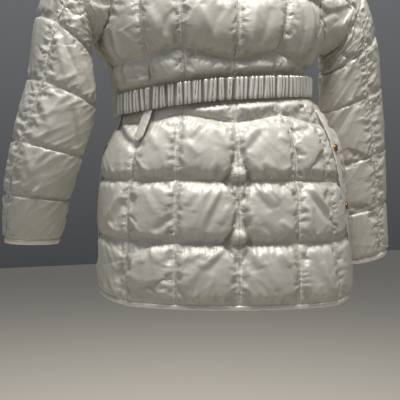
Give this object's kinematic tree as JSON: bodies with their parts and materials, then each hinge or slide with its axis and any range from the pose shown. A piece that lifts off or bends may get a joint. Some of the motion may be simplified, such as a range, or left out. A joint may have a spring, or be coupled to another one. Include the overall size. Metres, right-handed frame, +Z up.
{
  "type": "down jacket",
  "caption": "Hip-length quilted down jacket with two-piece sleeves, stand collar, gathered elastic belt, side vents with snaps and bound edges, held open as when worn.",
  "frame": {"origin": "middle of the neck opening, level with the nape, where the wearer's neck and shoulders carry the jacket", "axes": "+Z up, -Y towards the fronts, +Y towards the back, +X towards the wearer's left sleeve"},
  "size_m": [0.8266, 0.3386, 0.8423],
  "materials": {
    "shell": "satin",
    "trim": "satin",
    "snaps": "polished"
  },
  "bodies": {
    "root": {"back_centre_left": "shell", "back_centre_right": "shell", "back_middle_left": "shell", "back_middle_right": "shell", "back_side_left": "shell", "back_side_right": "shell", "front_side_left": "shell", "front_side_right": "shell", "front_centre_left": "shell", "front_centre_right": "shell", "sleeve_upper_left": "shell", "sleeve_upper_right": "shell", "sleeve_under_left": "shell", "sleeve_under_right": "shell", "cuff_left": "trim", "cuff_right": "trim", "hem_back": "trim", "hem_front_left": "trim", "hem_front_right": "trim", "vent_facing_left": "trim", "vent_facing_right": "trim", "vent_snap_left_1": "snaps", "vent_snap_left_2": "snaps", "vent_snap_right_1": "snaps", "vent_snap_right_2": "snaps", "collar": "shell", "front_placket": "shell", "front_snap_1": "snaps", "front_snap_2": "snaps", "front_snap_3": "snaps", "front_snap_4": "snaps", "front_snap_5": "snaps", "front_snap_6": "snaps", "belt": "shell", "belt_tab": "shell", "belt_snap": "snaps", "belt_loop": "shell"}
  },
  "joints": []
}
